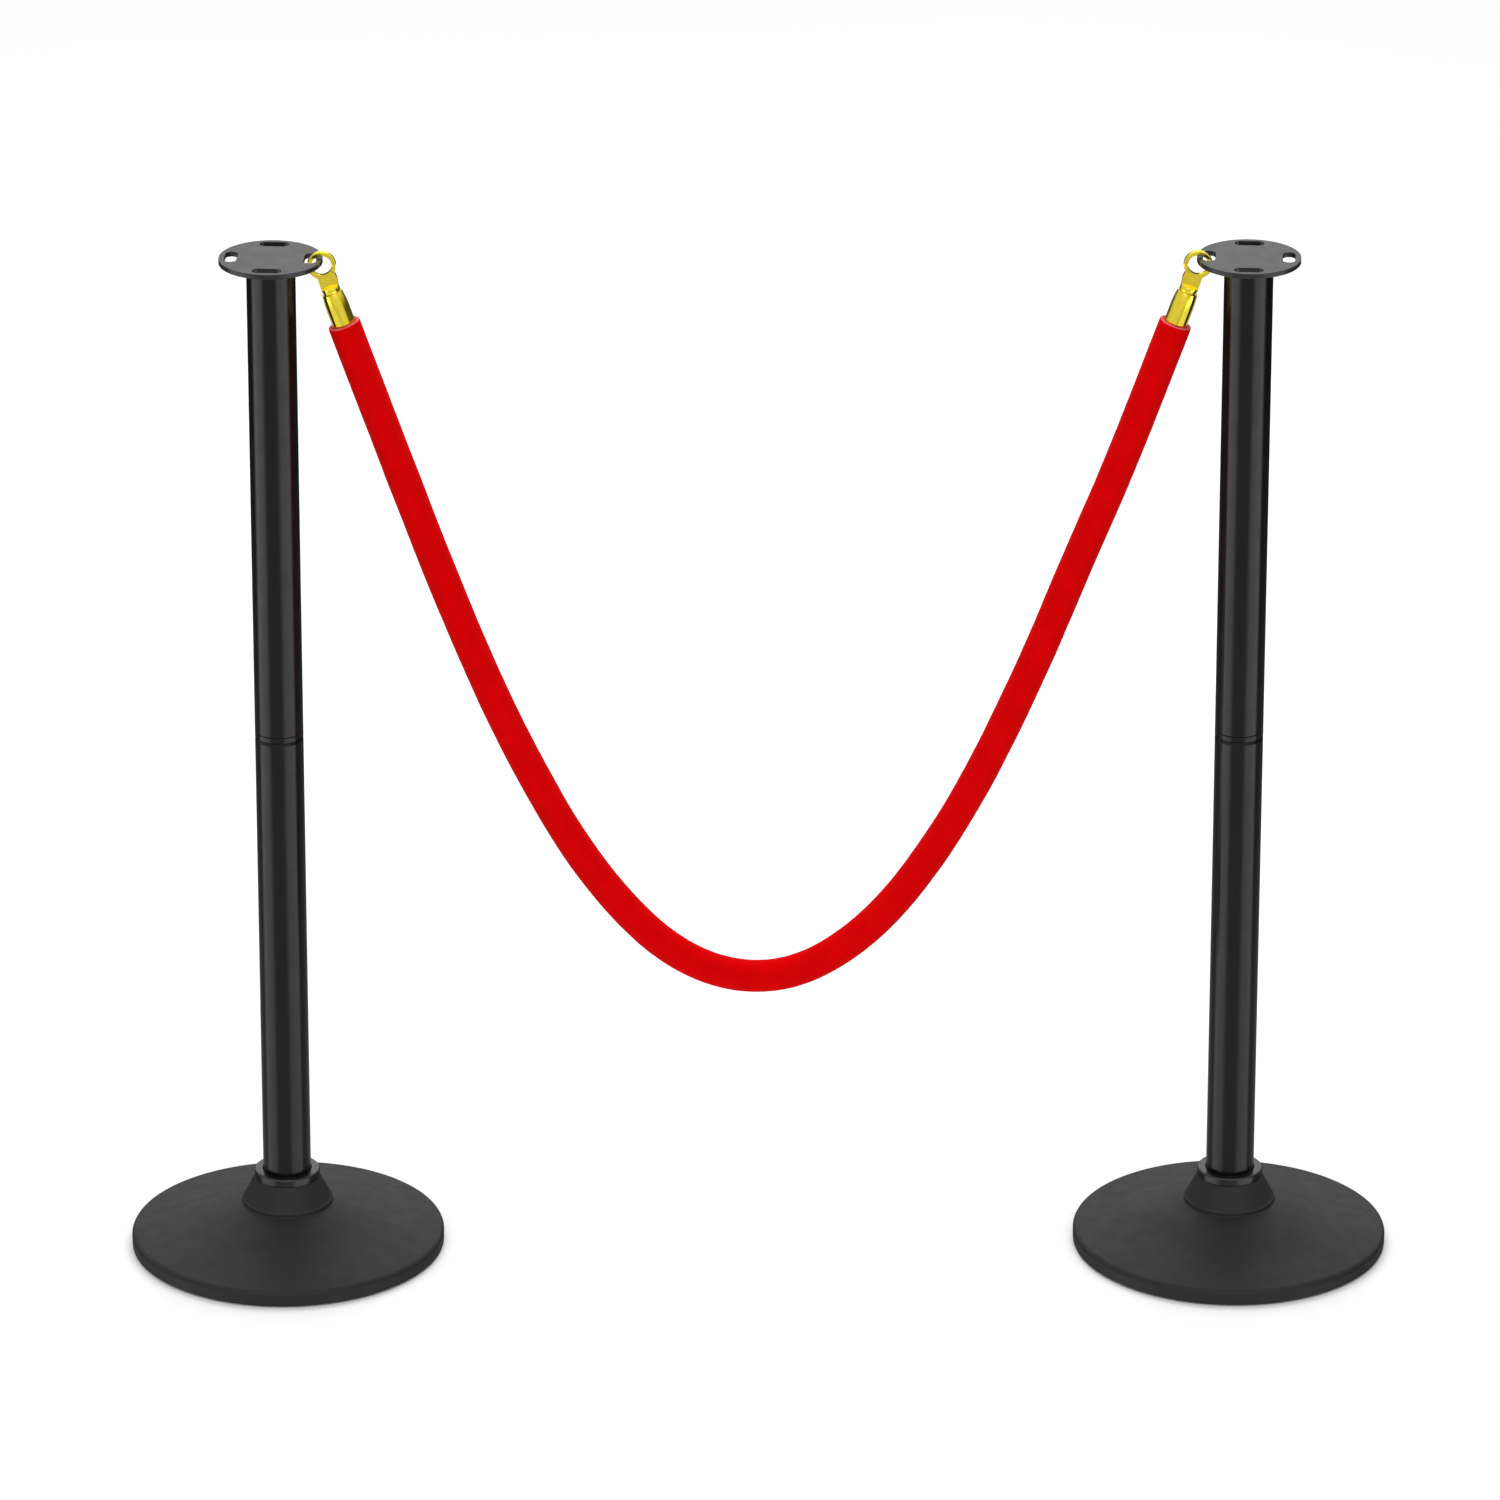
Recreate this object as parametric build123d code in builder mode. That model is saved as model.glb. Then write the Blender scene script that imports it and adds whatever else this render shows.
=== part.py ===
"""Rope barrier set: two free-standing posts with slotted discs, joined by a hanging rope.

Millimetres, +Z up. The origin is on the floor, half way between the posts. +X runs from the left
post to the right one and the rope hangs in the XZ plane.
"""

from build123d import *
import math
import os

os.makedirs("parts", exist_ok=True)

# ------------------------------------------------------------------ driving dimensions
sides = {"left": -1, "right": 1}
post_spacing = 870.0

# heights up a post
foot_height = 3.0
cover_bottom_z = 2.0
hub_top_z = 67.4
tube_seat_z = 69.4
collar_top_z = 75.2
lower_tube_top_z = 505.6
upper_tube_bottom_z = 511.5
upper_tube_top_z = 959.5
plate_bottom_z = 960.5
plate_top_z = 965.0

# post
tube_radius = 22.0
tube_wall = 1.2
plug_clearance = 0.05
plug_radius = tube_radius - tube_wall - plug_clearance
plug_length = 24.0
tube_end_chamfer = 0.3
lower_tube_bevel_height = 2.6
lower_tube_bevel_depth = 0.35
collar_radius = 30.0
collar_edge = 1.6
collar_undercut = 0.6
collar_socket_gap = 0.8
collar_socket_radius = tube_radius + collar_socket_gap
joint_groove_depth = 0.9
joint_groove_radius = tube_radius - joint_groove_depth
joint_groove_height = 0.6
joint_ring_chamfer = 0.2
plate_radius = 46.4
plate_edge = 0.3
plate_turn = -3.4
slot_length = 26.0
slot_width = 11.0
slot_centre_radius = 35.5
slot_edge = 0.3
slot_count = 4

# base: corners of the cover's outline, as radius and height
cone_foot = (40.2, 47.2)
lip_edge = (41.8, 45.4)
lip_foot = (41.9, 42.2)
dome_middle = (91.0, 25.6)
rim_corner = (144.2, 14.7)
rim_bottom_radius = 143.9
hub_edge_fillet = 0.8
cone_foot_fillet = 2.0
lip_edge_fillet = 0.8
lip_foot_fillet = 1.0
dome_bend = 260.0
rim_fillet = 4.9
cover_wall = 1.4
cover_clearance = 0.4
cover_hole_radius = 8.0
foot_outer_radius = 141.5
foot_inner_radius = 129.0
foot_chamfer = 0.6

# fasteners: nominal radii of the threads, plain where a thread would be
base_thread_radius = 5.0
joint_thread_radius = 6.0
plate_thread_radius = 4.0
thread_clearance = 0.05
stud_chamfer = 0.8
bolt_hole_radius = 6.0
bolt_recess_radius = 17.0
bolt_recess_top_z = 22.0
bolt_head_height = 6.4
bolt_head_corner_radius = 9.8
bolt_length = 66.0
washer_radius = 15.0
washer_height = 2.0
joint_stud_length = 48.0
plate_stud_length = 19.0

# rope end hardware, measured down the rope's end from the centre of the hook's ring
ring_centre_x = 389.7
ring_centre_z = 957.9
hook_lean = 19.0
ring_radius = 10.9
ring_half_width = 2.0
ring_half_depth = 2.7
ring_edge = 0.8
rivet_drop = 15.3
plate_drop = 21.6
neck_drop = 26.7
ferrule_top_drop = 27.0
ferrule_shoulder_drop = 42.0
rope_tip_drop = 58.0
ferrule_end_drop = 80.0

# hook
cheek_half_thickness = 2.7
gate_slot_half_width = 1.3
cheek_reach = 9.65
gate_root_reach = 10.0
gate_tip_reach = 17.7
nose_reach = 18.05
neck_radius = 8.2
rivet_radius = 1.5
rivet_clearance = 0.05
rivet_head_radius = 2.4
rivet_head_height = 0.6
rivet_dimple_radius = 0.7
rivet_dimple_depth = 0.5
gate_hub_radius = 3.2
gate_foot_low = -1.25
gate_foot_high = -0.15
gate_peg_radius = 0.5
gate_peg_high = 1.1
gate_peg_place = (3.3, -11.2)
ring_cut_height = 4 * nose_reach
# outlines in the hook's plane, from the ring's centre: x towards the other post, y up the hook
cheek_outline = [
    (-7.9, -plate_drop),
    (8.1, -plate_drop),
    (9.2, -15.0),
    (8.7, -10.5),
    (8.7, -5.0),
    (-7.0, -5.0),
    (-7.6, -10.4),
]
gate_slot_outline = [
    (-6.6, -20.7),
    (5.0, -20.7),
    (12.0, -15.0),
    (12.0, -4.0),
    (-4.2, -4.0),
    (-4.2, -18.7),
    (-6.6, -18.7),
]
gate_foot_outline = [
    (-2.6, -12.8),
    (3.0, -17.3),
    (8.4, -11.0),
    (9.2, -7.4),
    (6.6, -6.4),
    (5.0, -8.0),
]
spring_points = [(2.35, -10.4), (2.35, -19.75), (-6.2, -19.75)]
spring_wire_radius = 0.35
spring_height = 0.55
spring_bend = 2.1

# swivel stem and ferrule
stem_radius = 3.5
stem_clearance = 0.05
stem_top_drop = 22.2
stem_head_top_drop = 31.6
stem_head_bottom_drop = 35.0
stem_head_radius = 6.2
ferrule_radius = 10.5
ferrule_grip_radius = 10.3
ferrule_grip_drop = 60.0
ferrule_top_radius = 9.0
ferrule_wall_drop = 31.5
ferrule_neck_bore = 7.0
ferrule_cup_drop = 46.0
ferrule_cup_bore = 9.1
ferrule_edge = 0.5
pin_drop = 66.0
pin_radius = 1.5
pin_half_length = 10.2
pin_clearance = 0.3

# rope
rope_radius = 14.8
rope_bore = 10.8
core_radius = 10.5
tenon_radius = 8.8
tenon_top_drop = 50.0
end_gap = 0.3
arc_share = 0.45
route_inner_points = [
    (-328.5, 780.5),
    (-278, 637),
    (-224, 502),
    (-154, 369),
    (-71, 279),
    (21, 260),
    (107, 315),
    (181, 424),
    (242, 558),
    (288, 679),
    (328.5, 780.5),
]


def save(piece, node):
    """Label a finished piece and write it as one STEP file."""
    piece.part.label = node
    export_step(piece.part, f"parts/{node}.step")


def post_axis(x):
    return Axis((x, 0, 0), (0, 0, 1))


def section_plane(x):
    """Upright plane through a post's axis: local x is the radius, local y the height."""
    return Plane(origin=(x, 0, 0), x_dir=(1, 0, 0), z_dir=(0, -1, 0))


def level_plane(x, z):
    return Plane(origin=(x, 0, z), x_dir=(1, 0, 0), z_dir=(0, 0, 1))


# ------------------------------------------------------------------ base of a post
def base_section(inset, bottom_z):
    """Half section of the space under the cover's outline, moved inwards by inset."""
    corners = [
        (0, hub_top_z),
        (collar_radius, hub_top_z),
        cone_foot,
        lip_edge,
        lip_foot,
        dome_middle,
        rim_corner,
        (rim_bottom_radius, -foot_height),
    ]
    fillets = [
        hub_edge_fillet,
        cone_foot_fillet,
        lip_edge_fillet,
        lip_foot_fillet,
        dome_bend,
        rim_fillet,
    ]
    with BuildSketch() as section:
        with BuildLine():
            skin = FilletPolyline(*corners, radius=fillets)
            mirror(skin, about=Plane.YZ)
            Line(skin @ 1, (-(skin @ 1).X, (skin @ 1).Y))
        make_face()
        if inset:
            offset(amount=-inset)
        with Locations((0, bottom_z)):
            Rectangle(
                rim_corner[0],
                hub_top_z,
                align=(Align.MIN, Align.MIN),
                mode=Mode.INTERSECT,
            )
    return section.sketch


def make_foot_ring(side, x):
    with BuildPart() as foot_ring:
        with BuildSketch(level_plane(x, 0)):
            Circle(foot_outer_radius)
            Circle(foot_inner_radius, mode=Mode.SUBTRACT)
        extrude(amount=foot_height)
        chamfer(foot_ring.edges().group_by(Axis.Z)[0], foot_chamfer)
    save(foot_ring, f"{side}_foot_ring")


def make_base_weight(side, x):
    with BuildPart() as base_weight:
        with BuildSketch(section_plane(x)):
            add(base_section(cover_wall + cover_clearance, foot_height))
        revolve(axis=post_axis(x))
        with Locations(Plane(origin=(x, 0, foot_height), z_dir=(0, 0, -1))):
            CounterBoreHole(
                radius=bolt_hole_radius,
                counter_bore_radius=bolt_recess_radius,
                counter_bore_depth=bolt_recess_top_z - foot_height,
            )
    save(base_weight, f"{side}_base_weight")


def make_base_cover(side, x):
    with BuildPart() as base_cover:
        with BuildSketch(section_plane(x)):
            add(base_section(0, cover_bottom_z))
            add(base_section(cover_wall, cover_bottom_z - 1), mode=Mode.SUBTRACT)
        revolve(axis=post_axis(x))
        with Locations(level_plane(x, hub_top_z)):
            Hole(radius=cover_hole_radius, depth=2 * cover_wall)
    save(base_cover, f"{side}_base_cover")


def make_base_bolt(side, x):
    head_top_z = bolt_recess_top_z - washer_height
    with BuildPart() as base_bolt:
        with BuildSketch(level_plane(x, head_top_z)):
            RegularPolygon(radius=bolt_head_corner_radius, side_count=6)
        extrude(amount=-bolt_head_height)
        with BuildSketch(level_plane(x, head_top_z)):
            Circle(base_thread_radius - thread_clearance)
        extrude(amount=bolt_length)
        chamfer(base_bolt.edges().group_by(Axis.Z)[-1], stud_chamfer)
    save(base_bolt, f"{side}_base_bolt")


def make_base_washer(side, x):
    with BuildPart() as base_washer:
        with BuildSketch(level_plane(x, bolt_recess_top_z)):
            Circle(washer_radius)
            Circle(bolt_hole_radius, mode=Mode.SUBTRACT)
        extrude(amount=-washer_height)
    save(base_washer, f"{side}_base_washer")


def make_collar(side, x):
    with BuildPart() as collar:
        with BuildSketch(level_plane(x, hub_top_z)):
            Circle(collar_radius)
        extrude(amount=collar_top_z - hub_top_z)
        fillet(collar.edges().group_by(Axis.Z)[-1], collar_edge)
        chamfer(collar.edges().group_by(Axis.Z)[0], collar_undercut)
        with Locations(level_plane(x, collar_top_z)):
            CounterBoreHole(
                radius=cover_hole_radius,
                counter_bore_radius=collar_socket_radius,
                counter_bore_depth=collar_top_z - tube_seat_z,
            )
    save(collar, f"{side}_collar")


# ------------------------------------------------------------------ tubes and their plugs
def make_plug(node, x, bottom_z, bore_radius):
    """Threaded plug that is pressed and welded into a tube's end."""
    with BuildPart() as plug:
        with BuildSketch(level_plane(x, bottom_z)):
            Circle(plug_radius)
            Circle(bore_radius, mode=Mode.SUBTRACT)
        extrude(amount=plug_length)
        chamfer(plug.edges().group_by(Axis.Z)[0].sort_by(Edge.radius)[0], stud_chamfer)
    save(plug, node)


def make_stud(node, x, bottom_z, radius, length):
    with BuildPart() as stud:
        with BuildSketch(level_plane(x, bottom_z)):
            Circle(radius - thread_clearance)
        extrude(amount=length)
        chamfer(stud.edges().filter_by(GeomType.CIRCLE), stud_chamfer)
    save(stud, node)


def make_lower_tube(side, x):
    with BuildPart() as lower_tube:
        with BuildSketch(level_plane(x, tube_seat_z)):
            Circle(tube_radius)
            Circle(tube_radius - tube_wall, mode=Mode.SUBTRACT)
        extrude(amount=lower_tube_top_z - tube_seat_z)
        top_rim = lower_tube.edges().group_by(Axis.Z)[-1].sort_by(Edge.radius)[-1]
        outer_wall = lower_tube.faces().filter_by(GeomType.CYLINDER).sort_by(Face.radius)[-1]
        chamfer(
            top_rim,
            length=lower_tube_bevel_height,
            length2=lower_tube_bevel_depth,
            reference=outer_wall,
        )
    save(lower_tube, f"{side}_lower_tube")


def make_upper_tube(side, x):
    with BuildPart() as upper_tube:
        with BuildSketch(level_plane(x, upper_tube_bottom_z)):
            Circle(tube_radius)
            Circle(tube_radius - tube_wall, mode=Mode.SUBTRACT)
        extrude(amount=upper_tube_top_z - upper_tube_bottom_z)
        bottom_rim = upper_tube.edges().group_by(Axis.Z)[0].sort_by(Edge.radius)[-1]
        chamfer(bottom_rim, tube_end_chamfer)
    save(upper_tube, f"{side}_upper_tube")


def make_joint_ring(side, x):
    with BuildPart() as joint_ring:
        with BuildSketch(level_plane(x, lower_tube_top_z)):
            Circle(tube_radius)
            Circle(joint_thread_radius, mode=Mode.SUBTRACT)
        extrude(amount=upper_tube_bottom_z - lower_tube_top_z)
        # a narrow groove above and below the band
        for groove_z in (lower_tube_top_z, upper_tube_bottom_z - joint_groove_height):
            with BuildSketch(level_plane(x, groove_z)):
                Circle(tube_radius)
                Circle(joint_groove_radius, mode=Mode.SUBTRACT)
            extrude(amount=joint_groove_height, mode=Mode.SUBTRACT)
        rims = joint_ring.edges().filter_by(GeomType.CIRCLE).sort_by(Edge.radius)
        chamfer(rims[-2:], joint_ring_chamfer)
    save(joint_ring, f"{side}_joint_ring")


# ------------------------------------------------------------------ top of a post
def make_top_plug(side, x):
    with BuildPart() as top_plug:
        with BuildSketch(level_plane(x, upper_tube_top_z)):
            Circle(tube_radius)
        extrude(amount=plate_bottom_z - upper_tube_top_z)
        chamfer(top_plug.edges().group_by(Axis.Z)[0], tube_end_chamfer)
        with BuildSketch(level_plane(x, upper_tube_top_z)):
            Circle(plug_radius)
        extrude(amount=-plug_length)
        with Locations(level_plane(x, plate_bottom_z)):
            Hole(radius=plate_thread_radius)
    save(top_plug, f"{side}_top_plug")


def make_top_plate(side, x):
    with BuildPart() as top_plate:
        with BuildSketch(level_plane(x, plate_bottom_z)):
            Circle(plate_radius)
        extrude(amount=plate_top_z - plate_bottom_z)
        fillet(top_plate.edges().filter_by(GeomType.CIRCLE), plate_edge)
        with BuildSketch(level_plane(x, plate_bottom_z)):
            with PolarLocations(slot_centre_radius, slot_count, start_angle=plate_turn):
                SlotOverall(slot_length, slot_width, rotation=90)
        extrude(amount=plate_top_z - plate_bottom_z, mode=Mode.SUBTRACT)
        slot_walls = top_plate.faces().filter_by(lambda wall: wall.area < slot_length * slot_width)
        slot_rims = [
            rim
            for wall in slot_walls
            for rim in wall.edges()
            if abs(rim.center().Z - plate_top_z) < slot_edge
        ]
        chamfer(slot_rims, slot_edge)
    save(top_plate, f"{side}_top_plate")


def make_post(side, x):
    make_foot_ring(side, x)
    make_base_weight(side, x)
    make_base_cover(side, x)
    make_base_bolt(side, x)
    make_base_washer(side, x)
    make_collar(side, x)
    make_plug(f"{side}_tube_foot", x, tube_seat_z, base_thread_radius)
    make_lower_tube(side, x)
    make_plug(f"{side}_lower_coupling", x, lower_tube_top_z - plug_length, joint_thread_radius)
    make_joint_ring(side, x)
    joint_middle_z = (lower_tube_top_z + upper_tube_bottom_z) / 2
    stud_bottom_z = joint_middle_z - joint_stud_length / 2
    make_stud(f"{side}_joint_stud", x, stud_bottom_z, joint_thread_radius, joint_stud_length)
    make_plug(f"{side}_upper_coupling", x, upper_tube_bottom_z, joint_thread_radius)
    make_upper_tube(side, x)
    make_top_plug(side, x)
    plate_stud_bottom_z = plate_bottom_z - plate_stud_length
    make_stud(f"{side}_plate_stud", x, plate_stud_bottom_z, plate_thread_radius, plate_stud_length)
    make_top_plate(side, x)


# ------------------------------------------------------------------ rope end hardware
def hook_plane(sign):
    """Plane of a hook's ring: local x points at the other post, local y up the rope's end."""
    lean = math.radians(hook_lean)
    return Plane(
        origin=(sign * ring_centre_x, 0, ring_centre_z),
        x_dir=(-sign * math.cos(lean), 0, math.sin(lean)),
        z_dir=(0, sign, 0),
    )


def down_the_rope(sign, drop):
    """The point that lies this far down the rope's end from the ring's centre."""
    return hook_plane(sign).from_local_coords(Vector(0, -drop))


def swivel_axis(sign):
    plane = hook_plane(sign)
    return Axis(plane.origin, plane.y_dir)


def rope_end_plane(sign, drop):
    """Plane square to the rope's end, facing down the rope."""
    return Plane(origin=down_the_rope(sign, drop), z_dir=-hook_plane(sign).y_dir)


def ring_section():
    """Section of the ring's bar, as distance from the ring's centre and depth."""
    with BuildSketch() as section:
        with Locations((ring_radius, 0)):
            RectangleRounded(2 * ring_half_width, 2 * ring_half_depth, ring_edge)
    return section.sketch


def make_hook_body(side, sign):
    plane = hook_plane(sign)
    with BuildPart() as hook_body:
        with BuildSketch(Plane(origin=plane.origin, x_dir=plane.x_dir, z_dir=-plane.y_dir)):
            add(ring_section())
        revolve(axis=Axis(plane.origin, plane.z_dir))
        # the gate's share of the ring is left open
        with BuildSketch(plane):
            with Locations((0, -rivet_drop)):
                Circle(nose_reach)
            with Locations((0, -rivet_drop)):
                Rectangle(
                    nose_reach,
                    ring_cut_height,
                    align=(Align.MAX, Align.CENTER),
                    mode=Mode.SUBTRACT,
                )
        extrude(amount=2 * ring_half_depth, both=True, mode=Mode.SUBTRACT)
        # cheek plates, hollowed by the ring's hole and rounded off below the gate
        with BuildSketch(plane):
            with BuildLine():
                Polyline(*cheek_outline, close=True)
            make_face()
            Circle(ring_radius - ring_half_width, mode=Mode.SUBTRACT)
            with BuildSketch(mode=Mode.SUBTRACT):
                Rectangle(ring_radius, ring_radius, align=(Align.MIN, Align.MAX))
                with Locations((0, -rivet_drop)):
                    Circle(cheek_reach, mode=Mode.SUBTRACT)
        extrude(amount=cheek_half_thickness, both=True)
        # neck that the swivel stem screws into
        with BuildSketch(rope_end_plane(sign, plate_drop)):
            Circle(neck_radius)
        extrude(amount=neck_drop - plate_drop)
        with Locations(rope_end_plane(sign, neck_drop)):
            Hole(radius=stem_radius + stem_clearance, depth=neck_drop - stem_top_drop + end_gap)
        # slot between the cheeks for the gate's foot and its spring
        with BuildSketch(plane):
            with BuildLine():
                Polyline(*gate_slot_outline, close=True)
            make_face()
        extrude(amount=gate_slot_half_width, both=True, mode=Mode.SUBTRACT)
        with BuildSketch(plane):
            with Locations((0, -rivet_drop)):
                Circle(rivet_radius)
        extrude(amount=2 * cheek_half_thickness, both=True, mode=Mode.SUBTRACT)
    save(hook_body, f"{side}_hook_body")


def make_gate(side, sign):
    plane = hook_plane(sign)
    with BuildPart() as gate:
        with BuildSketch(Plane(origin=plane.origin, x_dir=plane.x_dir, z_dir=-plane.y_dir)):
            add(ring_section())
        revolve(axis=Axis(plane.origin, plane.z_dir))
        with BuildSketch(plane):
            with Locations((0, -rivet_drop)):
                Circle(gate_tip_reach)
                Circle(gate_root_reach, mode=Mode.SUBTRACT)
            with Locations((gate_hub_radius, 0)):
                Rectangle(
                    nose_reach,
                    ring_cut_height,
                    align=(Align.MIN, Align.CENTER),
                    mode=Mode.INTERSECT,
                )
        extrude(amount=2 * ring_half_depth, both=True, mode=Mode.INTERSECT)
        # flat foot that runs down between the cheeks to the rivet
        with BuildSketch(plane.offset(gate_foot_low)):
            with BuildLine():
                Polyline(*gate_foot_outline, close=True)
            make_face()
            with Locations((0, -rivet_drop)):
                Circle(gate_hub_radius)
        extrude(amount=gate_foot_high - gate_foot_low)
        # peg that the spring pushes on
        with BuildSketch(plane.offset(gate_foot_high)):
            with Locations(gate_peg_place):
                Circle(gate_peg_radius)
        extrude(amount=gate_peg_high - gate_foot_high)
        with BuildSketch(plane):
            with Locations((0, -rivet_drop)):
                Circle(rivet_radius + rivet_clearance)
        extrude(amount=cheek_half_thickness, both=True, mode=Mode.SUBTRACT)
    save(gate, f"{side}_gate")


def make_gate_rivet(side, sign):
    plane = hook_plane(sign)
    with BuildPart() as gate_rivet:
        with BuildSketch(plane):
            with Locations((0, -rivet_drop)):
                Circle(rivet_radius)
        extrude(amount=cheek_half_thickness, both=True)
        for face_height in (cheek_half_thickness, -cheek_half_thickness - rivet_head_height):
            with BuildSketch(plane.offset(face_height)):
                with Locations((0, -rivet_drop)):
                    Circle(rivet_head_radius)
            extrude(amount=rivet_head_height)
        rims = gate_rivet.edges().filter_by(GeomType.CIRCLE).sort_by(Axis.Y)
        fillet([rims[0], rims[-1]], rivet_head_height / 2)
        head_height = cheek_half_thickness + rivet_head_height
        for face_height in (head_height - rivet_dimple_depth, -head_height):
            with BuildSketch(plane.offset(face_height)):
                with Locations((0, -rivet_drop)):
                    Circle(rivet_dimple_radius)
            extrude(amount=rivet_dimple_depth, mode=Mode.SUBTRACT)
    save(gate_rivet, f"{side}_gate_rivet")


def make_gate_spring(side, sign):
    plane = hook_plane(sign).offset(spring_height)
    with BuildPart() as gate_spring:
        with BuildLine(plane) as wire:
            FilletPolyline(*spring_points, radius=spring_bend)
        with BuildSketch(Plane(origin=wire.line @ 0, z_dir=wire.line % 0)):
            Circle(spring_wire_radius)
        sweep()
    save(gate_spring, f"{side}_gate_spring")


def make_swivel_stem(side, sign):
    with BuildPart() as swivel_stem:
        with BuildSketch(rope_end_plane(sign, stem_top_drop)):
            Circle(stem_radius)
        extrude(amount=stem_head_top_drop - stem_top_drop)
        with BuildSketch(rope_end_plane(sign, stem_head_top_drop)):
            Circle(stem_head_radius)
        extrude(amount=stem_head_bottom_drop - stem_head_top_drop)
    save(swivel_stem, f"{side}_swivel_stem")


def make_ferrule(side, sign):
    with BuildPart() as ferrule:
        with BuildSketch(hook_plane(sign)):
            with BuildLine():
                # barrel-shaped shoulder that runs into the straight wall
                TangentArc(
                    (ferrule_radius, -ferrule_shoulder_drop),
                    (ferrule_top_radius, -ferrule_top_drop),
                    tangent=(0, 1),
                )
                Polyline(
                    (ferrule_radius, -ferrule_shoulder_drop),
                    (ferrule_radius, -ferrule_grip_drop),
                    (ferrule_grip_radius, -ferrule_grip_drop),
                    (ferrule_grip_radius, -ferrule_end_drop),
                    (ferrule_cup_bore, -ferrule_end_drop),
                    (ferrule_cup_bore, -ferrule_cup_drop),
                    (ferrule_neck_bore, -ferrule_cup_drop),
                    (ferrule_neck_bore, -ferrule_wall_drop),
                    (stem_radius + stem_clearance, -ferrule_wall_drop),
                    (stem_radius + stem_clearance, -ferrule_top_drop),
                    (ferrule_top_radius, -ferrule_top_drop),
                )
            make_face()
        revolve(axis=swivel_axis(sign))
        rims = ferrule.edges().filter_by(GeomType.CIRCLE).sort_by(SortBy.RADIUS)
        shoulder_rims = [rim for rim in rims if ferrule_cup_bore > rim.radius > ferrule_neck_bore]
        fillet(shoulder_rims, ferrule_edge)
        with BuildSketch(Plane(origin=down_the_rope(sign, pin_drop), z_dir=(0, 1, 0))):
            Circle(pin_radius)
        extrude(amount=2 * ferrule_radius, both=True, mode=Mode.SUBTRACT)
    save(ferrule, f"{side}_ferrule")


def make_ferrule_pin(side, sign):
    with BuildPart() as ferrule_pin:
        with BuildSketch(Plane(origin=down_the_rope(sign, pin_drop), z_dir=(0, 1, 0))):
            Circle(pin_radius)
        extrude(amount=pin_half_length, both=True)
    save(ferrule_pin, f"{side}_ferrule_pin")


# ------------------------------------------------------------------ rope
def rope_corners(end_drop):
    """The rope's route, from this far down its left end to this far down its right end."""
    inner = [Vector(x, 0, z) for x, z in route_inner_points]
    return [down_the_rope(-1, end_drop), *inner, down_the_rope(1, end_drop)]


def bend_radii(corners):
    """The largest arc that the two runs beside each inner corner leave room for."""
    radii = []
    for before, corner, after in zip(corners, corners[1:], corners[2:]):
        half_turn = math.radians((corner - before).get_angle(after - corner)) / 2
        shorter_run = min((corner - before).length, (after - corner).length)
        radii.append(arc_share * shorter_run / math.tan(half_turn))
    return radii


def make_rope_cover():
    corners = rope_corners(rope_tip_drop)
    radii = bend_radii(corners)
    with BuildPart() as rope_cover:
        with BuildLine() as route:
            FilletPolyline(*corners, radius=radii)
        with BuildSketch(rope_end_plane(-1, rope_tip_drop)):
            Circle(rope_radius)
            Circle(rope_bore, mode=Mode.SUBTRACT)
        sweep()
    save(rope_cover, "rope_cover")
    length = route.wires()[0].length
    tube_volume = math.pi * (rope_radius**2 - rope_bore**2) * length
    print("rope bend radii", [round(radius, 1) for radius in radii])
    print("rope length", round(length, 1))
    print("rope volume over section times length", round(rope_cover.part.volume / tube_volume, 5))


def make_rope_core():
    start_drop = ferrule_end_drop + end_gap
    corners = rope_corners(start_drop)
    radii = bend_radii(rope_corners(rope_tip_drop))
    with BuildPart() as rope_core:
        with BuildLine():
            FilletPolyline(*corners, radius=radii)
        with BuildSketch(rope_end_plane(-1, start_drop)):
            Circle(core_radius)
        sweep()
        for sign in sides.values():
            with BuildSketch(rope_end_plane(sign, tenon_top_drop)):
                Circle(tenon_radius)
            extrude(amount=start_drop - tenon_top_drop)
            with BuildSketch(Plane(origin=down_the_rope(sign, pin_drop), z_dir=(0, 1, 0))):
                Circle(pin_radius + pin_clearance)
            extrude(amount=core_radius, both=True, mode=Mode.SUBTRACT)
    save(rope_core, "rope_core")


for side, sign in sides.items():
    make_post(side, sign * post_spacing / 2)
    make_hook_body(side, sign)
    make_gate(side, sign)
    make_gate_rivet(side, sign)
    make_gate_spring(side, sign)
    make_swivel_stem(side, sign)
    make_ferrule(side, sign)
    make_ferrule_pin(side, sign)
make_rope_cover()
make_rope_core()
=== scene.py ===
"""Looks of the rope barrier set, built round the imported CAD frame.

Metres, +Z up, +X along the rope's span.
"""

import math

import bmesh
import bpy
from mathutils import Matrix, Vector, noise


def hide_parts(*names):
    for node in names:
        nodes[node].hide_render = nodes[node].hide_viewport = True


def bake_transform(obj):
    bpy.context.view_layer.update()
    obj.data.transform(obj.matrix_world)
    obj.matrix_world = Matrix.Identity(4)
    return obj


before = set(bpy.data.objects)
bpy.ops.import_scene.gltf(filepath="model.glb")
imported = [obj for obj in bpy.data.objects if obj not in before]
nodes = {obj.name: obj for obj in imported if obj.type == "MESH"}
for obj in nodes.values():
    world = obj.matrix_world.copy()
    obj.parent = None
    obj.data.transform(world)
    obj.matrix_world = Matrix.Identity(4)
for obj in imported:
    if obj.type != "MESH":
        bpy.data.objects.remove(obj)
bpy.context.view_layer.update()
scene = bpy.context.scene
SIDES = {"left": -1, "right": 1}
TINY = 1e-9

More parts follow.
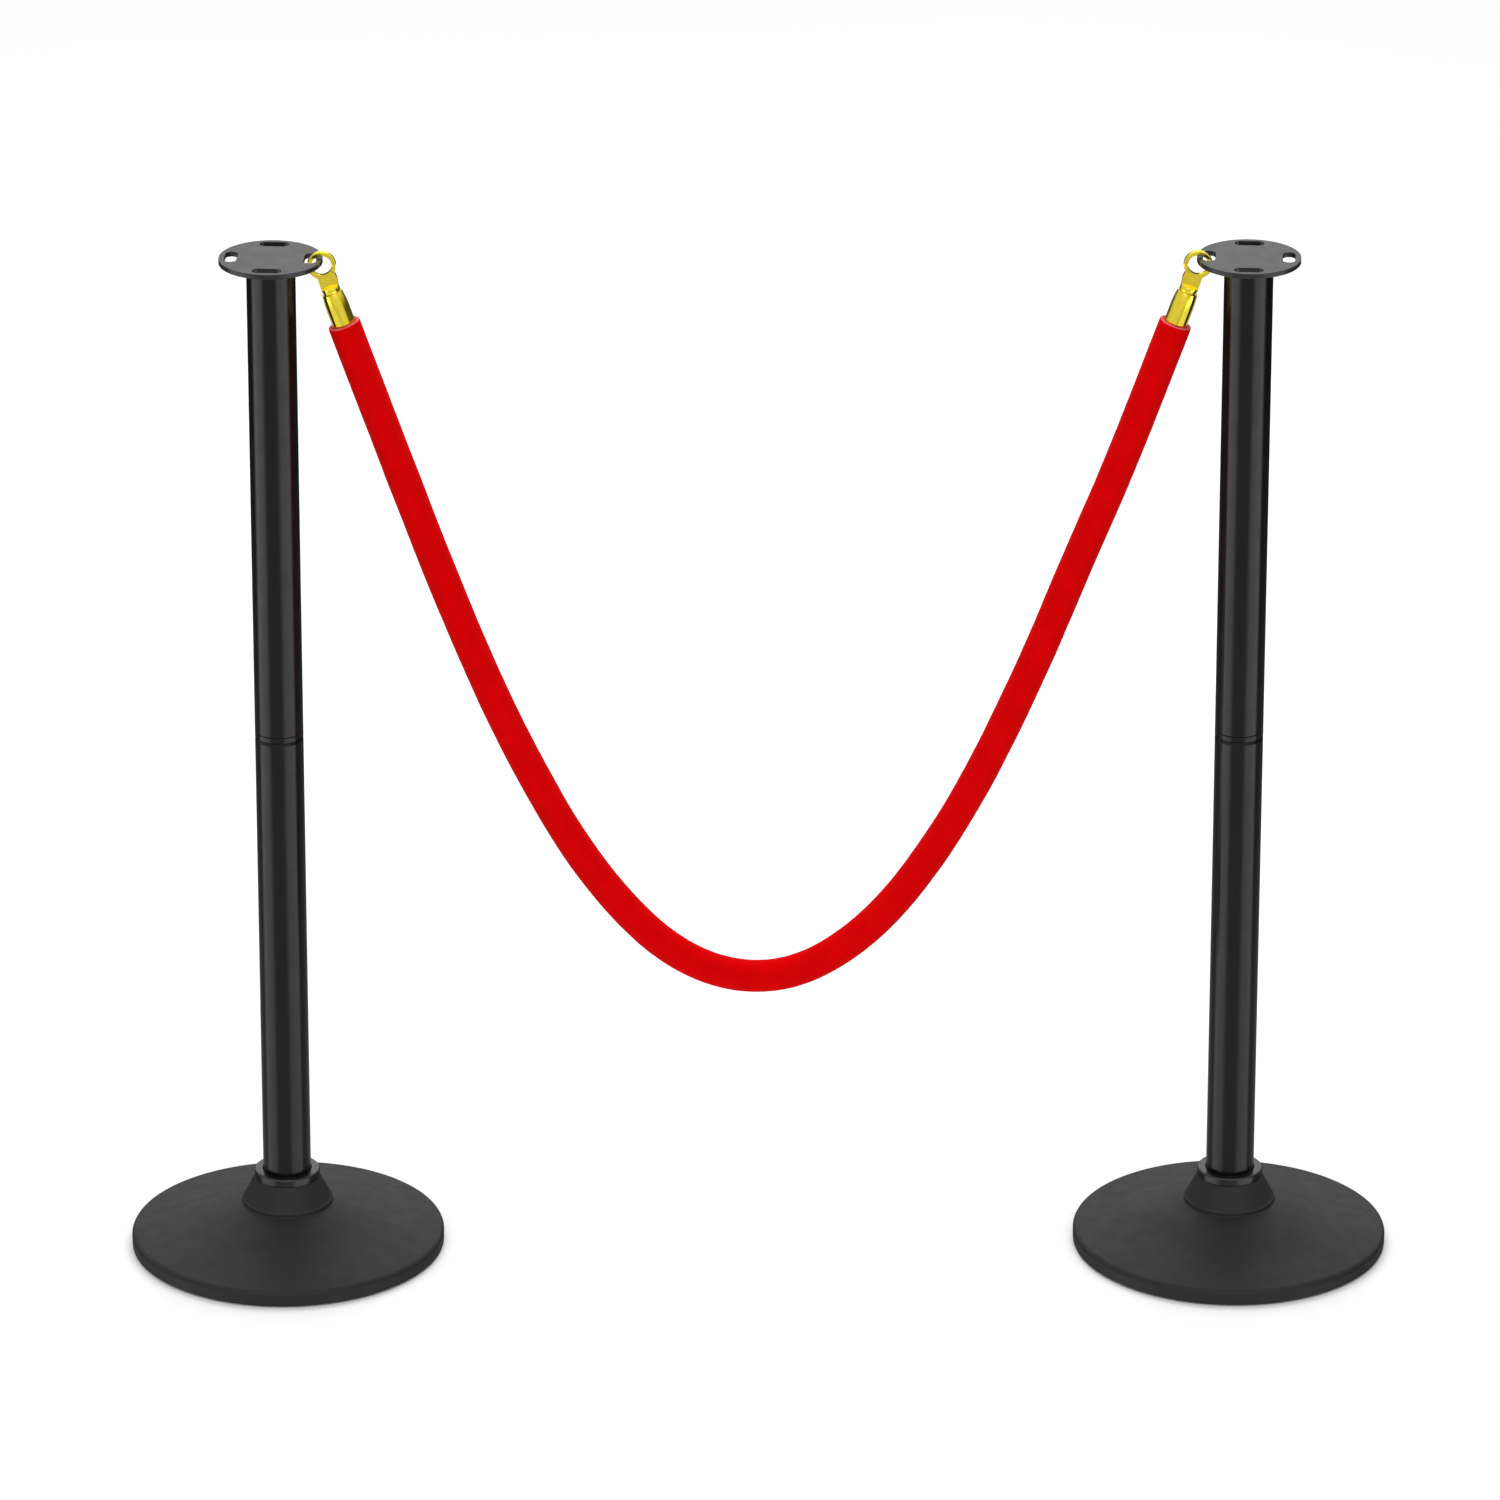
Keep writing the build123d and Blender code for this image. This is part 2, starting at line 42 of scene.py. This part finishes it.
# ------------------------------------------------------------------ camera
PITCH = 0.392261085
ROLL = 0.00109709777
TURN = 0.00612535569
CAMERA_PLACE = (-0.0597, -8.3757, 3.9559)
SENSOR_WIDTH = 36
LENS = 239.84
CLIP = (0.1, 100)


def make_camera():
    level = math.cos(PITCH)
    forward = Vector((math.sin(TURN) * level, math.cos(TURN) * level, -math.sin(PITCH)))
    right = Vector((math.cos(TURN), -math.sin(TURN), 0))
    up = right.cross(forward)
    tilted_right = math.cos(ROLL) * right + math.sin(ROLL) * up
    tilted_up = -math.sin(ROLL) * right + math.cos(ROLL) * up
    data = bpy.data.cameras.new("camera")
    data.sensor_width = SENSOR_WIDTH
    data.lens = LENS
    data.clip_start, data.clip_end = CLIP
    camera = bpy.data.objects.new("camera", data)
    matrix = Matrix((tilted_right, tilted_up, -forward)).transposed().to_4x4()
    matrix.translation = Vector(CAMERA_PLACE)
    camera.matrix_world = matrix
    scene.collection.objects.link(camera)
    scene.camera = camera


# ------------------------------------------------------------------ node helpers
def new_material(name):
    material = bpy.data.materials.new(name)
    material.use_nodes = True
    shader = material.node_tree.nodes["Principled BSDF"]
    return material, shader


def add_node(tree, kind, inputs=None, **settings):
    node = tree.nodes.new(kind)
    for key, value in settings.items():
        setattr(node, key, value)
    for key, value in (inputs or {}).items():
        if isinstance(value, bpy.types.NodeSocket):
            tree.links.new(value, node.inputs[key])
        else:
            node.inputs[key].default_value = value
    return node


def coordinates(tree, scale=(1, 1, 1), turn=(0, 0, 0)):
    """Object coordinates, so the pattern rides with its piece."""
    source = add_node(tree, "ShaderNodeTexCoord").outputs["Object"]
    inputs = {"Vector": source, "Scale": scale, "Rotation": turn}
    return add_node(tree, "ShaderNodeMapping", inputs).outputs["Vector"]


def noise_value(tree, vector, scale, detail=3.0, roughness=0.55):
    found = add_node(
        tree,
        "ShaderNodeTexNoise",
        {"Vector": vector, "Scale": scale, "Detail": detail, "Roughness": roughness},
    )
    return found.outputs["Fac"]


def span(tree, value, low, high, from_low=0.3, from_high=0.7):
    found = add_node(
        tree,
        "ShaderNodeMapRange",
        {"Value": value, "From Min": from_low, "From Max": from_high, "To Min": low, "To Max": high},
    )
    return found.outputs["Result"]


def colour_ramp(tree, value, stops):
    ramp = add_node(tree, "ShaderNodeValToRGB", {"Fac": value})
    band = ramp.color_ramp
    while len(band.elements) < len(stops):
        band.elements.new(0.5)
    for element, (place, colour) in zip(band.elements, stops):
        element.position = place
        element.color = (*colour, 1)
    return ramp.outputs["Color"]


def bump(tree, height, distance, strength=1.0, normal=None):
    inputs = {"Height": height, "Distance": distance, "Strength": strength}
    if normal is not None:
        inputs["Normal"] = normal
    return add_node(tree, "ShaderNodeBump", inputs).outputs["Normal"]


def link(tree, output, shader, name):
    tree.links.new(output, shader.inputs[name])


# ------------------------------------------------------------------ materials
def paint(name, dark, light, rough, grain, depth, specular):
    """Powder coat: a fine orange peel, faint patches of tone and of gloss."""
    material, shader = new_material(name)
    tree = material.node_tree
    place = coordinates(tree)
    patches = noise_value(tree, place, scale=14, detail=4)
    link(tree, colour_ramp(tree, patches, [(0.3, dark), (0.7, light)]), shader, "Base Color")
    rubbed = noise_value(tree, place, scale=60, detail=2)
    link(tree, span(tree, rubbed, *rough), shader, "Roughness")
    shader.inputs["Specular IOR Level"].default_value = specular
    peel = noise_value(tree, place, grain, detail=2)
    link(tree, bump(tree, peel, depth, strength=0.6), shader, "Normal")
    return material


def metal(name, colour, dark, rough, turn=0.0, stretch=(1, 1, 1)):
    """Polished or plated metal with fine marks drawn along one direction."""
    material, shader = new_material(name)
    tree = material.node_tree
    shader.inputs["Metallic"].default_value = 1
    place = coordinates(tree, stretch, (0, turn, 0))
    marks = noise_value(tree, place, scale=900, detail=3, roughness=0.6)
    cloud = noise_value(tree, coordinates(tree), scale=130, detail=3)
    link(tree, colour_ramp(tree, cloud, [(0.25, dark), (0.6, colour)]), shader, "Base Color")
    link(tree, span(tree, marks, *rough), shader, "Roughness")
    link(tree, bump(tree, marks, distance=0.00001, strength=0.5), shader, "Normal")
    return material


def rubber(name):
    """Moulded rubber: a fine grain and faint patches."""
    material, shader = new_material(name)
    tree = material.node_tree
    place = coordinates(tree)
    cloud = noise_value(tree, place, scale=40, detail=4)
    stops = [(0.3, (0.012, 0.012, 0.012)), (0.7, (0.024, 0.023, 0.022))]
    link(tree, colour_ramp(tree, cloud, stops), shader, "Base Color")
    link(tree, span(tree, cloud, low=0.7, high=0.85), shader, "Roughness")
    grain = noise_value(tree, place, scale=1600, detail=2)
    link(tree, bump(tree, grain, distance=0.00005), shader, "Normal")
    return material


def concrete(name):
    """Cast concrete: sand grain, pale and dark patches, small pits."""
    material, shader = new_material(name)
    tree = material.node_tree
    place = coordinates(tree)
    cloud = noise_value(tree, place, scale=25, detail=6, roughness=0.65)
    stops = [(0.25, (0.26, 0.25, 0.24)), (0.5, (0.38, 0.37, 0.35)), (0.75, (0.5, 0.49, 0.46))]
    link(tree, colour_ramp(tree, cloud, stops), shader, "Base Color")
    shader.inputs["Roughness"].default_value = 0.92
    pits = add_node(tree, "ShaderNodeTexVoronoi", {"Vector": place, "Scale": 260.0}).outputs["Distance"]
    sand = noise_value(tree, place, scale=1200, detail=3)
    grain = bump(tree, sand, distance=0.0002)
    link(tree, bump(tree, pits, distance=0.0006, strength=0.4, normal=grain), shader, "Normal")
    return material


def plush(name, stops, sheen, pile):
    """Short cut pile: fibre speckle, lie of the pile in soft patches, and a bump as fine as the pile."""
    material, shader = new_material(name)
    tree = material.node_tree
    place = coordinates(tree)
    fibres = noise_value(tree, place, scale=2600, detail=2, roughness=0.7)
    lie = noise_value(tree, place, scale=45, detail=3)
    inputs = {"Factor": 0.45, "A": fibres, "B": lie}
    mixed = add_node(tree, "ShaderNodeMix", inputs, data_type="FLOAT").outputs["Result"]
    link(tree, colour_ramp(tree, mixed, stops), shader, "Base Color")
    shader.inputs["Roughness"].default_value = 0.85
    shader.inputs["Specular IOR Level"].default_value = 0.03
    shader.inputs["Sheen Weight"].default_value = sheen
    shader.inputs["Sheen Roughness"].default_value = 0.45
    shader.inputs["Sheen Tint"].default_value = (1.0, 0.25, 0.25, 1)
    tufts = bump(tree, fibres, pile)
    link(tree, bump(tree, lie, distance=0.0006, strength=0.5, normal=tufts), shader, "Normal")
    return material


BLACK = paint(
    "post_black",
    dark=(0.0012, 0.0012, 0.0014),
    light=(0.0022, 0.0022, 0.0025),
    rough=(0.17, 0.22),
    grain=1500,
    depth=0.00002,
    specular=0.28,
)
PLATE = paint(
    "plate_black",
    dark=(0.016, 0.016, 0.017),
    light=(0.022, 0.022, 0.023),
    rough=(0.22, 0.3),
    grain=1500,
    depth=0.00003,
    specular=0.3,
)
BASE = paint(
    "base_charcoal",
    dark=(0.0098, 0.0099, 0.0112),
    light=(0.0124, 0.0125, 0.0142),
    rough=(0.5, 0.58),
    grain=1900,
    depth=0.00006,
    specular=0.3,
)
GLOSS = paint(
    "gloss_black",
    dark=(0.004, 0.004, 0.004),
    light=(0.006, 0.006, 0.006),
    rough=(0.16, 0.24),
    grain=900,
    depth=0.000008,
    specular=0.5,
)
RUBBER = rubber("foot_rubber")
CONCRETE = concrete("cast_concrete")
ZINC = metal(
    "zinc",
    colour=(0.62, 0.63, 0.65),
    dark=(0.48, 0.49, 0.51),
    rough=(0.3, 0.42),
    stretch=(1, 1, 0.2),
)
SPRING = metal("spring_wire", colour=(0.6, 0.6, 0.62), dark=(0.45, 0.45, 0.47), rough=(0.22, 0.3))
GOLD_COLOUR = (0.98, 0.79, 0.062)
GOLD_DARK = (0.9, 0.7, 0.045)
GOLD = metal("gold", GOLD_COLOUR, GOLD_DARK, rough=(0.12, 0.19))
HOOK_LEAN = math.radians(19)
RED_STOPS = [(0.3, (0.54, 0.0, 0.0004)), (0.5, (0.62, 0.0, 0.0007)), (0.7, (0.69, 0.0004, 0.0012))]
RIM_STOPS = [(0.3, (0.62, 0.07, 0.085)), (0.5, (0.74, 0.12, 0.13)), (0.7, (0.82, 0.2, 0.2))]
PLUSH = plush("red_plush", RED_STOPS, sheen=0.01, pile=0.00012)
CUT_PILE = plush("cut_pile", RIM_STOPS, sheen=0.1, pile=0.0003)


# ------------------------------------------------------------------ smooth lines
WIRE_ROUNDNESS = 4


def spline_mesh(name, points, resolution, wire_radius=0.0):
    """Mesh of the smooth spline with these control points: a line, or a round wire with flat ends."""
    curve = bpy.data.curves.new(name, "CURVE")
    curve.dimensions = "3D"
    curve.resolution_u = resolution
    if wire_radius:
        curve.bevel_depth = wire_radius
        curve.bevel_resolution = WIRE_ROUNDNESS
        curve.use_fill_caps = True
    spline = curve.splines.new("NURBS")
    spline.points.add(len(points) - 1)
    for point, place in zip(spline.points, points):
        point.co = (*place, 1)
    spline.order_u = 3
    spline.use_endpoint_u = True
    holder = bpy.data.objects.new(name, curve)
    scene.collection.objects.link(holder)
    bpy.context.view_layer.update()
    depsgraph = bpy.context.evaluated_depsgraph_get()
    mesh = bpy.data.meshes.new_from_object(holder.evaluated_get(depsgraph))
    bpy.data.objects.remove(holder)
    bpy.data.curves.remove(curve)
    return mesh


# ------------------------------------------------------------------ rope
# the route of the CAD solid, in metres
ROUTE = [
    (-0.37082, 0.90306),
    (-0.3285, 0.7805),
    (-0.278, 0.637),
    (-0.224, 0.502),
    (-0.154, 0.369),
    (-0.071, 0.279),
    (0.021, 0.260),
    (0.107, 0.315),
    (0.181, 0.424),
    (0.242, 0.558),
    (0.288, 0.679),
    (0.3285, 0.7805),
    (0.37082, 0.90306),
]
ROPE_RADIUS = 0.0148
ROPE_BORE = 0.0108
ROUTE_RESOLUTION = 48
ROPE_STEP = 0.0022
ROPE_SIDES = 72
# uneven stuffing and clumps of pile: how often, and how far they stand out
STUFFING = (22, 0.00022)
CLUMPS = (160, 0.0001)
# the unevenness grows in over this many steps from the tip, and its cut rim has a little of it
WOBBLE_STEPS = 6
RIM_WOBBLE = 0.2
# the cut tip, from the bore over the rim: depth into the rope, and distance from the bore's wall
TIP = [
    (0.012, -0.0004),
    (0.004, -0.0003),
    (0.0008, 0.0002),
    (0.0, 0.0009),
    (0.0, 0.0022),
    (0.0001, 0.0031),
    (0.0006, 0.0037),
]


def rope_line():
    """Points along the route's smooth spline."""
    line = spline_mesh("rope_route", [(x, 0, z) for x, z in ROUTE], ROUTE_RESOLUTION)
    points = [v.co.copy() for v in line.vertices]
    bpy.data.meshes.remove(line)
    return points


def resample(points, step):
    """The same line with its points this far apart, read from the spline's own points."""
    lengths = [0.0]
    for a, b in zip(points, points[1:]):
        lengths.append(lengths[-1] + (b - a).length)
    count = round(lengths[-1] / step)
    found, k = [], 0
    for i in range(count + 1):
        target = lengths[-1] * i / count
        while k < len(points) - 2 and lengths[k + 1] < target:
            k += 1
        share = (target - lengths[k]) / max(lengths[k + 1] - lengths[k], TINY)
        found.append(points[k].lerp(points[k + 1], min(share, 1)))
    return found


def make_rope():
    """The plush sleeve, with a cut rim round a short bore at each end."""
    line = resample(rope_line(), ROPE_STEP)
    last = len(line) - 1
    mesh = bpy.data.meshes.new("rope")
    bm = bmesh.new()
    tangents = []
    for i in range(len(line)):
        a, b = line[max(i - 1, 0)], line[min(i + 1, last)]
        tangents.append((b - a).normalized())
    across = Vector((0, 1, 0))

    def ring(centre, tangent, radius, wobble):
        out = tangent.cross(across).normalized()
        made = []
        for j in range(ROPE_SIDES):
            angle = 2 * math.pi * j / ROPE_SIDES
            direction = math.cos(angle) * across + math.sin(angle) * out
            spot = centre + direction * radius
            swell = sum(noise.noise(spot * often) * far for often, far in (STUFFING, CLUMPS))
            made.append(bm.verts.new(spot + direction * swell * wobble))
        return made

    # inside of the tip, over the cut rim, along the rope, and back in at the other end
    profile = []
    for depth, outward in TIP:
        spot = line[0] + tangents[0] * depth
        profile.append((spot, tangents[0], ROPE_BORE + outward, RIM_WOBBLE))
    for i, spot in enumerate(line):
        reach = min(i, last - i)
        if reach:
            profile.append((spot, tangents[i], ROPE_RADIUS, min(reach / WOBBLE_STEPS, 1)))
    for depth, outward in reversed(TIP):
        spot = line[last] - tangents[last] * depth
        profile.append((spot, tangents[last], ROPE_BORE + outward, RIM_WOBBLE))
    rings = [ring(*entry) for entry in profile]
    rim_faces = len(TIP) - 1
    for i, (a, b) in enumerate(zip(rings, rings[1:])):
        on_rim = i < rim_faces or i >= len(rings) - 1 - rim_faces
        for j in range(ROPE_SIDES):
            k = (j + 1) % ROPE_SIDES
            face = bm.faces.new((a[j], a[k], b[k], b[j]))
            face.smooth = True
            face.material_index = 1 if on_rim else 0
    bmesh.ops.recalc_face_normals(bm, faces=bm.faces)
    bm.to_mesh(mesh)
    bm.free()
    mesh.materials.append(PLUSH)
    mesh.materials.append(CUT_PILE)
    rope = bpy.data.objects.new("rope", mesh)
    scene.collection.objects.link(rope)
    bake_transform(rope)
    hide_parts("rope_cover", "rope_core")


# ------------------------------------------------------------------ gate springs
# the wire in the ring's own plane: across it, and up the rope's end
SPRING_LINE = [
    (0.00235, -0.0104),
    (0.00235, -0.0172),
    (0.00235, -0.01975),
    (-0.0002, -0.01975),
    (-0.0062, -0.01975),
]
SPRING_WIRE_RADIUS = 0.00035
SPRING_RESOLUTION = 12
# distance of the wire's plane from the ring's plane
SPRING_SHIFT = 0.00055
# distance of the ring's centre from the middle of the span, and its height
RING_CENTRE = (0.3897, 0.9579)


def make_gate_spring(side, sign):
    """Bent wire: its foot in the hook and its free leg at the gate's foot."""
    across = Vector((-sign * math.cos(HOOK_LEAN), 0, math.sin(HOOK_LEAN)))
    up = Vector((sign * math.sin(HOOK_LEAN), 0, math.cos(HOOK_LEAN)))
    centre = Vector((sign * RING_CENTRE[0], sign * SPRING_SHIFT, RING_CENTRE[1]))
    points = [centre + across * x + up * y for x, y in SPRING_LINE]
    mesh = spline_mesh(f"{side}_spring_line", points, SPRING_RESOLUTION, SPRING_WIRE_RADIUS)
    mesh.materials.clear()
    mesh.materials.append(SPRING)
    for face in mesh.polygons:
        face.use_smooth = True
        face.material_index = 0
    spring = bpy.data.objects.new(f"{side}_spring_wire", mesh)
    scene.collection.objects.link(spring)
    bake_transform(spring)
    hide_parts(f"{side}_gate_spring")


# ------------------------------------------------------------------ finish of the CAD parts
def dress(node, material):
    slots = nodes[node].data.materials
    slots.clear()
    slots.append(material)


EDGE_WIDTH = 0.0002
EDGE_ANGLE = math.radians(40)
SAME_SPOT = 0.000002


def soften(node):
    """Rounds a CAD part's sharp edges a little, as a modifier, so that they catch the light."""
    weld = nodes[node].modifiers.new("weld", "WELD")
    weld.merge_threshold = SAME_SPOT
    edge = nodes[node].modifiers.new("edge", "BEVEL")
    edge.width = EDGE_WIDTH
    edge.segments = 2
    edge.limit_method = "ANGLE"
    edge.angle_limit = EDGE_ANGLE
    edge.harden_normals = True


def dress_parts():
    finishes = {
        "foot_ring": RUBBER,
        "base_weight": CONCRETE,
        "base_cover": BASE,
        "base_bolt": ZINC,
        "base_washer": ZINC,
        "collar": GLOSS,
        "tube_foot": ZINC,
        "lower_tube": BLACK,
        "lower_coupling": ZINC,
        "joint_ring": BLACK,
        "joint_stud": ZINC,
        "upper_coupling": ZINC,
        "upper_tube": BLACK,
        "top_plug": BLACK,
        "plate_stud": ZINC,
        "top_plate": PLATE,
        "hook_body": GOLD,
        "gate": GOLD,
        "gate_rivet": GOLD,
        "swivel_stem": GOLD,
        "ferrule_pin": ZINC,
    }
    for side, sign in SIDES.items():
        for node, material in finishes.items():
            dress(f"{side}_{node}", material)
        for node in ("hook_body", "gate"):
            soften(f"{side}_{node}")
        turned = metal(
            f"gold_turned_{side}",
            GOLD_COLOUR,
            GOLD_DARK,
            rough=(0.08, 0.14),
            turn=-sign * HOOK_LEAN,
            stretch=(0.05, 0.05, 4),
        )
        dress(f"{side}_ferrule", turned)


# ------------------------------------------------------------------ floor, light and surroundings
FLOOR_REACH = 40


def make_floor():
    mesh = bpy.data.meshes.new("floor")
    corners = [(x * FLOOR_REACH, y * FLOOR_REACH, 0) for x, y in ((-1, -1), (1, -1), (1, 1), (-1, 1))]
    mesh.from_pydata(corners, [], [(0, 1, 2, 3)])
    floor = bpy.data.objects.new("floor", mesh)
    scene.collection.objects.link(floor)
    material, shader = new_material("floor_white")
    tree = material.node_tree
    cloud = noise_value(tree, coordinates(tree), scale=0.8, detail=3)
    stops = [(0.2, (0.9, 0.9, 0.9)), (0.8, (0.92, 0.92, 0.92))]
    link(tree, colour_ramp(tree, cloud, stops), shader, "Base Color")
    shader.inputs["Roughness"].default_value = 0.9
    shader.inputs["Specular IOR Level"].default_value = 0.0
    mesh.materials.append(material)
    floor.visible_glossy = False


# brightness by direction round the object, in degrees from the front, to the right
GROUND = [(-180, 0.6), (-130, 0.6), (-60, 0.85), (60, 0.85), (130, 0.6), (180, 0.6)]
BOXES = [
    (-180, 0.1),
    (-174, 0.1),
    (-168, 0.02),
    (-104, 0.02),
    (-92, 3.1),
    (-50, 2.9),
    (-36, 0.6),
    (18, 0.6),
    (34, 2.9),
    (77, 3.1),
    (89, 0.02),
    (168, 0.02),
    (174, 0.1),
    (180, 0.1),
]
HORIZON = [
    (-180, 0.3),
    (-160, 0.1),
    (-125, 0.1),
    (-100, 0.75),
    (55, 0.75),
    (74, 0.08),
    (160, 0.08),
    (180, 0.3),
]
CEILING = [
    (-180, 1.35),
    (-150, 1.2),
    (-110, 0.75),
    (-50, 0.75),
    (0, 1.6),
    (50, 0.75),
    (110, 0.75),
    (150, 1.2),
    (180, 1.35),
]
ZENITH = [(-180, 1.0), (-90, 0.6), (0, 1.6), (90, 0.6), (180, 1.0)]
# each next ring up, and the heights of the direction between which it takes over
RINGS_ABOVE = [
    (BOXES, -0.47, -0.36),
    (HORIZON, -0.31, -0.23),
    (CEILING, 0.04, 0.3),
    (ZENITH, 0.5, 0.7),
]
# a ramp's colours go up to 1, so its levels are divided by this and the light multiplied by it
BRIGHTEST = 4.0
BACKDROP_LEVEL = 1.05


def make_surroundings():
    """Soft studio: a bright ceiling, a pale ground and two wide soft boxes low at the sides.

    The camera itself sees plain white behind the floor.
    """
    world = bpy.data.worlds.new("studio")
    world.use_nodes = True
    scene.world = world
    tree = world.node_tree
    tree.nodes.clear()
    direction = add_node(tree, "ShaderNodeTexCoord").outputs["Generated"]
    parts = add_node(tree, "ShaderNodeSeparateXYZ", {"Vector": direction})
    flipped = {0: parts.outputs["Y"], 1: -1.0}
    away = add_node(tree, "ShaderNodeMath", flipped, operation="MULTIPLY").outputs[0]
    sideways = {0: parts.outputs["X"], 1: away}
    turn = add_node(tree, "ShaderNodeMath", sideways, operation="ARCTAN2").outputs[0]
    share = span(tree, turn, 0, 1, -math.pi, math.pi)

    def ring_of_light(levels):
        stops = [((turned + 180) / 360, (level / BRIGHTEST,) * 3) for turned, level in levels]
        return colour_ramp(tree, share, stops)

    def stack(below, above, low, high):
        """Goes from one ring of light to the next one up, between two heights of the direction."""
        lift = span(tree, parts.outputs["Z"], 0, 1, low, high)
        mixed = add_node(tree, "ShaderNodeMix", {"Factor": lift}, data_type="RGBA")
        tree.links.new(below, mixed.inputs[6])
        tree.links.new(above, mixed.inputs[7])
        return mixed.outputs[2]

    light = ring_of_light(GROUND)
    for levels, low, high in RINGS_ABOVE:
        light = stack(light, ring_of_light(levels), low, high)
    glow = add_node(tree, "ShaderNodeBackground", {"Color": light, "Strength": BRIGHTEST})
    plain = {"Color": (1, 1, 1, 1), "Strength": BACKDROP_LEVEL}
    white = add_node(tree, "ShaderNodeBackground", plain)
    seen = add_node(tree, "ShaderNodeLightPath").outputs["Is Camera Ray"]
    chosen = add_node(tree, "ShaderNodeMixShader", {0: seen, 1: glow.outputs[0], 2: white.outputs[0]})
    add_node(tree, "ShaderNodeOutputWorld", {"Surface": chosen.outputs[0]})


def make_light(name, place, target, size, power):
    data = bpy.data.lights.new(name, "AREA")
    data.shape = "RECTANGLE"
    data.size, data.size_y = size
    data.energy = power
    light = bpy.data.objects.new(name, data)
    light.location = place
    light.rotation_euler = (Vector(target) - Vector(place)).to_track_quat("-Z", "Y").to_euler()
    light.visible_camera = False
    light.visible_glossy = False
    scene.collection.objects.link(light)


make_camera()
make_rope()
for side, sign in SIDES.items():
    make_gate_spring(side, sign)
dress_parts()
make_floor()
make_surroundings()
make_light("top_soft_box", place=(0, 1.6, 3.2), target=(0, 0.1, 0.3), size=(2.6, 1.4), power=48)
scene.view_settings.view_transform = "Standard"
